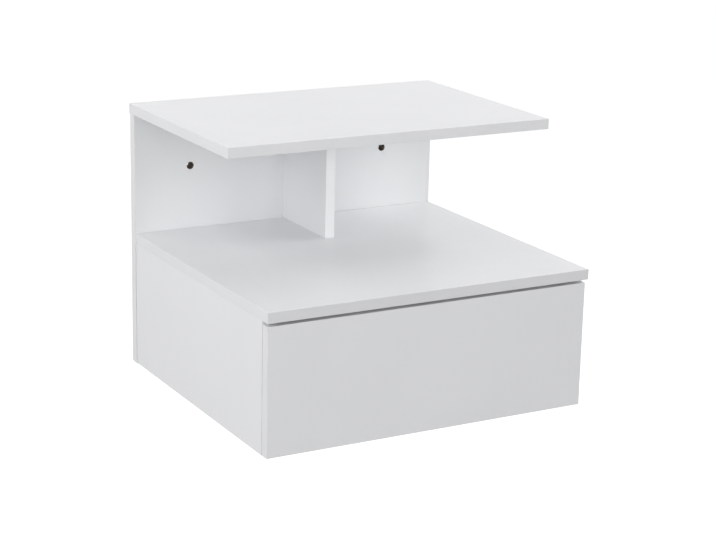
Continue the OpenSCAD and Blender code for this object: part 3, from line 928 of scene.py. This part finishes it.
# The stop across a track: its height and length, its distance from the track's front, the
# steps of its outline, and the share of a half turn left off at each side of its crown
STOP_RISE = 3.0 * MM
STOP_LENGTH = 4.0 * MM
STOP_FROM_FRONT = 49.6 * MM
STOP_STEPS = 8
STOP_EDGE_SHARE = 0.12

# Spare holes along a cabinet runner, rivet holes, and the gap round a runner screw
SLOT_SHARES = (0.28, 0.63, 0.78)
SLOT_R = 2.2 * MM
RIVET_HOLE_R = 2.05 * MM
SCREW_FIT = 0.05 * MM


def bent_outline(path):
    """The outline of a sheet that follows a path with rounded bends."""
    path = [Vector(point) for point in path]
    centre = [path[0]]
    for before, corner, after in zip(path, path[1:], path[2:]):
        to_before = (before - corner).normalized()
        to_after = (after - corner).normalized()
        hub = corner + (to_before + to_after) * BEND_R
        for step in range(BEND_STEPS + 1):
            angle = math.pi / 2 * step / BEND_STEPS
            centre.append(hub - to_after * BEND_R * math.cos(angle) - to_before * BEND_R * math.sin(angle))
    centre.append(path[-1])
    left, right = [], []
    for index, point in enumerate(centre):
        ahead = centre[min(index + 1, len(centre) - 1)] - centre[max(index - 1, 0)]
        ahead.normalize()
        across = Vector((-ahead.y, ahead.x)) * STEEL_T / 2
        left.append(point + across)
        right.append(point - across)
    return left + right[::-1]


def drawn_out(points, reach):
    """A closed bar: the face between some points, drawn out along a vector."""
    shape = bmesh.new()
    first = shape.faces.new([shape.verts.new(point) for point in points])
    pulled = bmesh.ops.extrude_face_region(shape, geom=[first])
    corners = [item for item in pulled["geom"] if isinstance(item, bmesh.types.BMVert)]
    bmesh.ops.translate(shape, verts=corners, vec=reach)
    bmesh.ops.recalc_face_normals(shape, faces=shape.faces[:])
    return shape


def add_cone(shape, near, far, length, corners, place):
    """Adds a closed round bar from one radius to the other."""
    bmesh.ops.create_cone(
        shape, cap_ends=True, segments=corners, radius1=near, radius2=far, depth=length, matrix=place
    )


def add_cross_rod(shape, middle, radius, corners):
    """Adds a closed rod along x, long enough to pass through the steel."""
    place = Matrix.Translation(middle) @ Matrix.Rotation(math.pi / 2, 4, "Y")
    add_cone(shape, radius, radius, STEEL_T * 4, corners, place)


def add_countersink(shape, head, tip):
    """Adds the cone that a runner screw's head sinks into."""
    along = (tip - head).normalized()
    depth = RUNNER_SCREW_HEAD_R * HEAD_SHARE
    slope = (RUNNER_SCREW_HEAD_R - RUNNER_SCREW_R) / depth
    above = STEEL_T / 4
    turn = UP.rotation_difference(along).to_matrix().to_4x4()
    place = Matrix.Translation(head + along * (depth - above) / 2) @ turn
    wide = RUNNER_SCREW_HEAD_R + SCREW_FIT + slope * above
    add_cone(shape, wide, RUNNER_SCREW_R + SCREW_FIT, depth + above, 40, place)


def cut(made, cutter_shape, name):
    """Cuts a shape out of a piece for good."""
    cutter = to_object(name, cutter_shape, [])
    modifier = made.modifiers.new("cut", "BOOLEAN")
    modifier.operation = "DIFFERENCE"
    modifier.solver = "EXACT"
    modifier.object = cutter
    keep_result(made, modifier)
    bpy.data.objects.remove(cutter)


def runner(side, body, rivets, slot_shares=()):
    """A runner rolled from one strip. The cabinet's has its web outside, with a track and a
    cover turned inward; the drawer's has its web on the drawer's side, with a foot turned
    inward and a rail outward."""
    node = f"{side}_{body}_runner"
    low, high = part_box(node)
    sign = 1.0 if side == "right" else -1.0
    inner, outer = (low.x, high.x) if sign > 0 else (high.x, low.x)
    if body == "cabinet":
        web_x = outer - sign * STEEL_T / 2
        top_end = inner
    else:
        board_low, board_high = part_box(f"drawer_{side}_side")
        web_x = (board_high.x if sign > 0 else board_low.x) + sign * STEEL_T / 2
        top_end = outer
    bottom, top = low.z + STEEL_T / 2, high.z - STEEL_T / 2
    outline = bent_outline([(inner, bottom), (web_x, bottom), (web_x, top), (top_end, top)])
    shape = drawn_out([(x, high.y, z) for x, z in outline], (0.0, low.y - high.y, 0.0))
    made = to_object(node + "_steel", shape, [POWDER_COAT])
    cutter = bmesh.new()
    for corners in solids_of(f"{body}_runner_screws"):
        head, tip = wide_and_narrow_end(corners)
        if head.x * sign > 0:
            add_countersink(cutter, head, tip)
    for corners in solids_of(rivets):
        head, _ = wide_and_narrow_end(corners)
        if head.x * sign > 0:
            add_cross_rod(cutter, (web_x, head.y, head.z), RIVET_HOLE_R, 32)
    for share in slot_shares:
        y = low.y + share * (high.y - low.y)
        add_cross_rod(cutter, (web_x, y, (low.z + high.z) / 2), SLOT_R, 24)
    cut(made, cutter, node + "_holes")
    return finish_piece(made, body, [node])


def track_stop(side):
    """The pressed stop across the track, which holds the open drawer."""
    low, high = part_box(f"{side}_cabinet_runner")
    front = low.y + STOP_FROM_FRONT
    base = low.z + STEEL_T / 2
    rise = STOP_RISE + STEEL_T / 2
    outline = [(front, base)]
    for step in range(1, STOP_STEPS):
        share = step / STOP_STEPS
        angle = math.pi * (STOP_EDGE_SHARE + (1 - 2 * STOP_EDGE_SHARE) * share)
        outline.append((front + STOP_LENGTH * share, base + rise * math.sqrt(math.sin(angle))))
    outline.append((front + STOP_LENGTH, base))
    inner, outer = (low.x, high.x - STEEL_T) if side == "right" else (high.x, low.x + STEEL_T)
    shape = drawn_out([(inner, y, z) for y, z in outline], (outer - inner, 0.0, 0.0))
    made = to_object(f"{side}_track_stop", shape, [POWDER_COAT])
    return finish_piece(made, "cabinet")


# Rollers: bore, walls, dished face, rounded edges, crown, and ribs with the drop below the rim
# and the sinking into it
ROLLER_BORE_R = 2.5 * MM
RIM_T = 1.5 * MM
HUB_T = 1.4 * MM
DISH = 1.2 * MM
SOFT = 0.35 * MM
CROWN = 0.12 * MM
RIBS = 6
RIB_T = 0.7 * MM
RIB_DROP = 0.4 * MM
RIB_SINK = 0.2 * MM
ROLLER_STEPS = 72


def roller(node, face_sign):
    """A moulded roller: crowned rim, thin web with ribs, and a hub round the bore."""
    low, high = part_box(node)
    radius = (high.z - low.z) / 2
    rim_r = radius - RIM_T
    hub_r = ROLLER_BORE_R + HUB_T
    half = (high.x - low.x) / 2
    profile = [
        (ROLLER_BORE_R, -half),
        (radius - SOFT, -half),
        (radius - CROWN, -half + SOFT),
        (radius, -half * 0.5),
        (radius, half * 0.5),
        (radius - CROWN, half - SOFT),
        (radius - SOFT, half),
        (rim_r + SOFT / 2, half),
        (rim_r, half - SOFT / 2),
        (rim_r - SOFT / 2, half - DISH),
        (hub_r + SOFT / 2, half - DISH),
        (hub_r, half - SOFT / 2),
        (hub_r - SOFT / 2, half),
        (ROLLER_BORE_R, half),
    ]
    shape = bmesh.new()
    ring = [shape.verts.new((x * face_sign, 0.0, r)) for r, x in profile]
    edges = [shape.edges.new((a, b)) for a, b in zip(ring, ring[1:] + ring[:1])]
    bmesh.ops.spin(
        shape, geom=ring + edges, cent=(0, 0, 0), axis=(1, 0, 0), angle=2 * math.pi,
        steps=ROLLER_STEPS, use_merge=True,
    )
    bmesh.ops.remove_doubles(shape, verts=shape.verts[:], dist=MERGE)
    size = Matrix.Diagonal((DISH - RIB_DROP, RIB_T, rim_r - hub_r + 2 * RIB_SINK, 1.0))
    rib_x = face_sign * (half - DISH / 2 - RIB_DROP / 2)
    shift = Matrix.Translation((rib_x, 0.0, (rim_r + hub_r) / 2))
    for number in range(RIBS):
        corners = bmesh.ops.create_cube(shape, size=1.0)["verts"]
        turn = Matrix.Rotation(2 * math.pi * number / RIBS, 4, "X")
        bmesh.ops.transform(shape, matrix=turn @ shift @ size, verts=corners)
    bmesh.ops.translate(shape, verts=shape.verts[:], vec=(low + high) / 2)
    bmesh.ops.recalc_face_normals(shape, faces=shape.faces[:])
    made = to_object(node + "_wheel", shape, [NYLON])
    return finish_piece(made, node, [node])


# Building


def band_lines(name, edges):
    """The middle lines of the bands on some boards' edges, with their outward sides."""
    corners, lines, outwards = [], [], []
    for node, edge in edges:
        thick, bands, _ = BOARDS[node]
        low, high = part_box(node)
        axis, place = side_plane(low, high, edge)
        sign = -1.0 if edge[0] == "-" else 1.0
        run = 3 - axis - AXES[thick]
        middle = (low + high) / 2
        middle[axis] = place - sign * BAND_T / 2
        start, end = middle.copy(), middle.copy()
        start[run], end[run] = low[run], high[run]
        # A band on an x edge, or along a side's foot or top, stops at the bands that cross it
        if edge[1] == "x" or thick + edge[1] == "xz":
            start[run] += BAND_T * ("-" + "xyz"[run] in bands)
            end[run] -= BAND_T * ("+" + "xyz"[run] in bands)
        lines.append((len(corners), len(corners) + 1))
        corners += [start, end]
        outward = Vector()
        outward[axis] = sign
        outwards += [outward, outward]
    return marked_mesh(name + "_lines", corners, lines, "outward", "FLOAT_VECTOR", outwards)


def build_boards():
    """All boards, their edge bands and the bottom sheet."""
    for node in BOARDS:
        faced_board(node)
    bottom_sheet()
    low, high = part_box("divider")
    sizes = {
        "Thickness": BAND_T,
        "Width": high.x - low.x,
        "Outer Round": BAND_ROUND,
        "Seam Round": BAND_SEAM,
    }
    strips = edge_band_tree(sizes)
    # The divider's front band is the lighter copy with a painted highlight, the deck's front band the
    # darker copy with painted shade
    own = {
        "divider_edge_band": (PAINTED_HIGHLIGHT_BAND, [("divider", "-y")]),
        "deck_front_edge_band": (PAINTED_SHADE_BAND, [("deck", "-y")]),
    }
    taken = [edge for _, edges in own.values() for edge in edges]
    for body in ("cabinet", "drawer"):
        boards = [node for node in BOARDS if body_of_node(node) == body]
        rest = [(node, edge) for node in boards for edge in BOARDS[node][1] if (node, edge) not in taken]
        own[f"{body}_edge_bands"] = (EDGE_BAND, rest)
    for name, (finish, edges) in own.items():
        body = body_of_node(edges[0][0])
        grow(name, strips, band_lines(name, edges), sizes | {"Finish": finish}, body)


def add_fittings(node, tree, sizes, places, ending="zinc"):
    """One CAD node's fittings as one mesh."""
    origins, turns = zip(*places)
    points = marked_mesh(node + "_places", origins, [], "turn", "QUATERNION", turns)
    grow(f"{node}_{ending}", tree, points, sizes, body_of_node(node), [node])


def build_fittings():
    """Screws, cams, bolts, dowels and rivets, one mesh for each CAD node."""
    screws = screw_tree()
    for node, sizes in (
        ("back_screws", LONG_SCREW),
        ("divider_screws", LONG_SCREW),
        ("drawer_back_screws", LONG_SCREW),
        ("cabinet_runner_screws", RUNNER_SCREW),
        ("drawer_runner_screws", RUNNER_SCREW),
        ("drawer_bottom_screws", SHEET_SCREW),
    ):
        add_fittings(node, screws, sizes, long_places(node, "wide end", SPIN_STEP))
    cams = cam_tree()
    for node, pocket in (("cabinet_cams", UP), ("drawer_cams", FORWARD)):
        add_fittings(node, cams, CAM, cam_places(node, pocket), "cast")
    bolts = cam_bolt_tree()
    for node in ("cabinet_cam_bolts", "drawer_cam_bolts"):
        add_fittings(node, bolts, CAM_BOLT, long_places(node))
    dowels = dowel_tree()
    for node in ("cabinet_dowels", "drawer_dowels"):
        add_fittings(node, dowels, DOWEL, long_places(node, "middle"), "beech")
    rivets = rivet_tree()
    fixed = RIVET["Tail Length"] + RIVET["Shoulder Length"] + RIVET["Head Length"]
    for node in ("front_roller_rivets", "rear_roller_rivets"):
        low, high = extent(solids_of(node)[0])
        sizes = RIVET | {"Journal Length": high.x - low.x - fixed}
        add_fittings(node, rivets, sizes, long_places(node))


def build_runners():
    """Both pairs of runners with their stops and rollers."""
    for side, outward in (("left", -1.0), ("right", 1.0)):
        runner(side, "cabinet", "front_roller_rivets", SLOT_SHARES)
        runner(side, "drawer", "rear_roller_rivets")
        track_stop(side)
        roller(f"{side}_front_roller", -outward)
        roller(f"{side}_rear_roller", outward)


# Studio

FLOOR_LEVEL = -0.30
FLOOR_HALF = 6.0
FLOOR_CELLS = 8
FLOOR_GREY = (0.20, 0.20, 0.20, 1.0)
FLOOR_GLOW = 0.97
DOME_STRENGTH = 0.20

# Softboxes: place, width, height and power in watts, all aimed at the cabinet
SOFTBOXES = {
    "front": ((0.0, -2.4, 0.7), 1.4, 0.8, 8.3),
    "front_left": ((-1.3, -1.9, 0.5), 1.0, 0.8, 12.0),
    "front_right": ((1.5, -1.8, 0.5), 1.0, 0.8, 7.9),
    "left": ((-1.9, -0.4, 0.7), 1.2, 1.0, 8.6),
    "right": ((1.9, -0.3, 0.8), 1.0, 0.8, 16.5),
    "left_high": ((-1.5, -0.5, 1.6), 1.2, 1.0, 8.5),
    "right_high": ((1.5, -0.3, 1.6), 1.2, 1.0, 12.5),
    "rear_left": ((-1.3, 0.8, 1.2), 1.0, 0.8, 7.6),
    "rear_high": ((0.1, 0.7, 2.0), 1.6, 1.0, 2.8),
    "rear": ((0.0, 2.3, 0.4), 1.6, 1.0, 18.0),
    "below": ((0.0, -0.18, -0.27), 0.5, 0.45, 0.5),
}
AIM = Vector((0.0, -0.18, 0.16))

# The photograph's camera, solved on the corners of the boards
CAMERA_PLACE = (-1.03076, -2.04356, 0.73379)
CAMERA_RIGHT = (0.87634265, -0.48124372, 0.02068910)
CAMERA_UP = (0.11276274, 0.24671936, 0.96250409)
CAMERA_BACK = (-0.46830345, -0.84115043, 0.27047706)
SENSOR_WIDTH = 36.0
FOCAL_LENGTH = 96.2592
NEAREST, FARTHEST = 0.05, 50.0


def mixed(tree, share, first, second):
    """The first shader, or the second where the share is one."""
    return made_by(tree, "ShaderNodeMixShader", {"Fac": share, 1: first, 2: second})


def looking_ray(tree):
    """One for rays from the camera, a glossy or a clear surface, and zero for the rest."""
    path = add_node(tree, "ShaderNodeLightPath").outputs
    seen_or_shiny = Size(path["Is Camera Ray"]).reckon("MAXIMUM", path["Is Glossy Ray"])
    return seen_or_shiny.reckon("MAXIMUM", path["Is Transmission Ray"])


def floor_finish():
    """A pale floor: white where the camera, gloss or glass looks at it, with a faint shadow,
    and clear from below."""
    finish = bpy.data.materials.new("pale_floor")
    tree = cleared_tree(finish)
    plain = made_by(tree, "ShaderNodeBsdfDiffuse", {"Color": FLOOR_GREY})
    glow = made_by(tree, "ShaderNodeEmission", {"Color": WHITE, "Strength": FLOOR_GLOW})
    bright = made_by(tree, "ShaderNodeAddShader", {0: plain, 1: glow})
    above = mixed(tree, looking_ray(tree), plain, bright)
    below = made_by(tree, "ShaderNodeBsdfTransparent")
    from_below = add_node(tree, "ShaderNodeNewGeometry").outputs["Backfacing"]
    surface = mixed(tree, from_below, above, below)
    add_node(tree, "ShaderNodeOutputMaterial", {"Surface": surface})
    return finish


def build_floor():
    """The floor under the hanging cabinet."""
    shape = bmesh.new()
    bmesh.ops.create_grid(shape, x_segments=FLOOR_CELLS, y_segments=FLOOR_CELLS, size=FLOOR_HALF)
    bmesh.ops.translate(shape, verts=shape.verts[:], vec=(0.0, 0.0, FLOOR_LEVEL))
    floor = to_object("studio_floor", shape, [floor_finish()])


def build_world():
    """A soft even dome that looks white."""
    world = bpy.data.worlds.new("studio")
    bpy.context.scene.world = world
    tree = cleared_tree(world)
    dome, white = (
        made_by(tree, "ShaderNodeBackground", {"Color": WHITE, "Strength": strength})
        for strength in (DOME_STRENGTH, 1.0)
    )
    surface = mixed(tree, looking_ray(tree), dome, white)
    add_node(tree, "ShaderNodeOutputWorld", {"Surface": surface})


def build_lamps():
    """The soft lamps round the cabinet."""
    for name, (place, wide, high, power) in SOFTBOXES.items():
        name += "_softbox"
        lamp = bpy.data.lights.new(name, "AREA")
        lamp.shape = "RECTANGLE"
        lamp.size = wide
        lamp.size_y = high
        lamp.energy = power
        holder = new_object(name, lamp)
        holder.location = place
        holder.rotation_euler = (AIM - Vector(place)).to_track_quat("-Z", "Y").to_euler()
        holder.visible_camera = False
        holder.visible_glossy = False


def build_camera():
    """The camera at the photograph's place and angle."""
    data = bpy.data.cameras.new("photo_camera")
    data.sensor_width = SENSOR_WIDTH
    data.lens = FOCAL_LENGTH
    data.clip_start = NEAREST
    data.clip_end = FARTHEST
    camera = new_object("photo_camera", data)
    turn = Matrix((CAMERA_RIGHT, CAMERA_UP, CAMERA_BACK)).transposed()
    camera.matrix_world = Matrix.Translation(CAMERA_PLACE) @ turn.to_4x4()
    bpy.context.scene.camera = camera


build_boards()
build_runners()
build_fittings()
build_floor()
build_world()
build_lamps()
build_camera()
bpy.context.scene.view_settings.view_transform = "Standard"
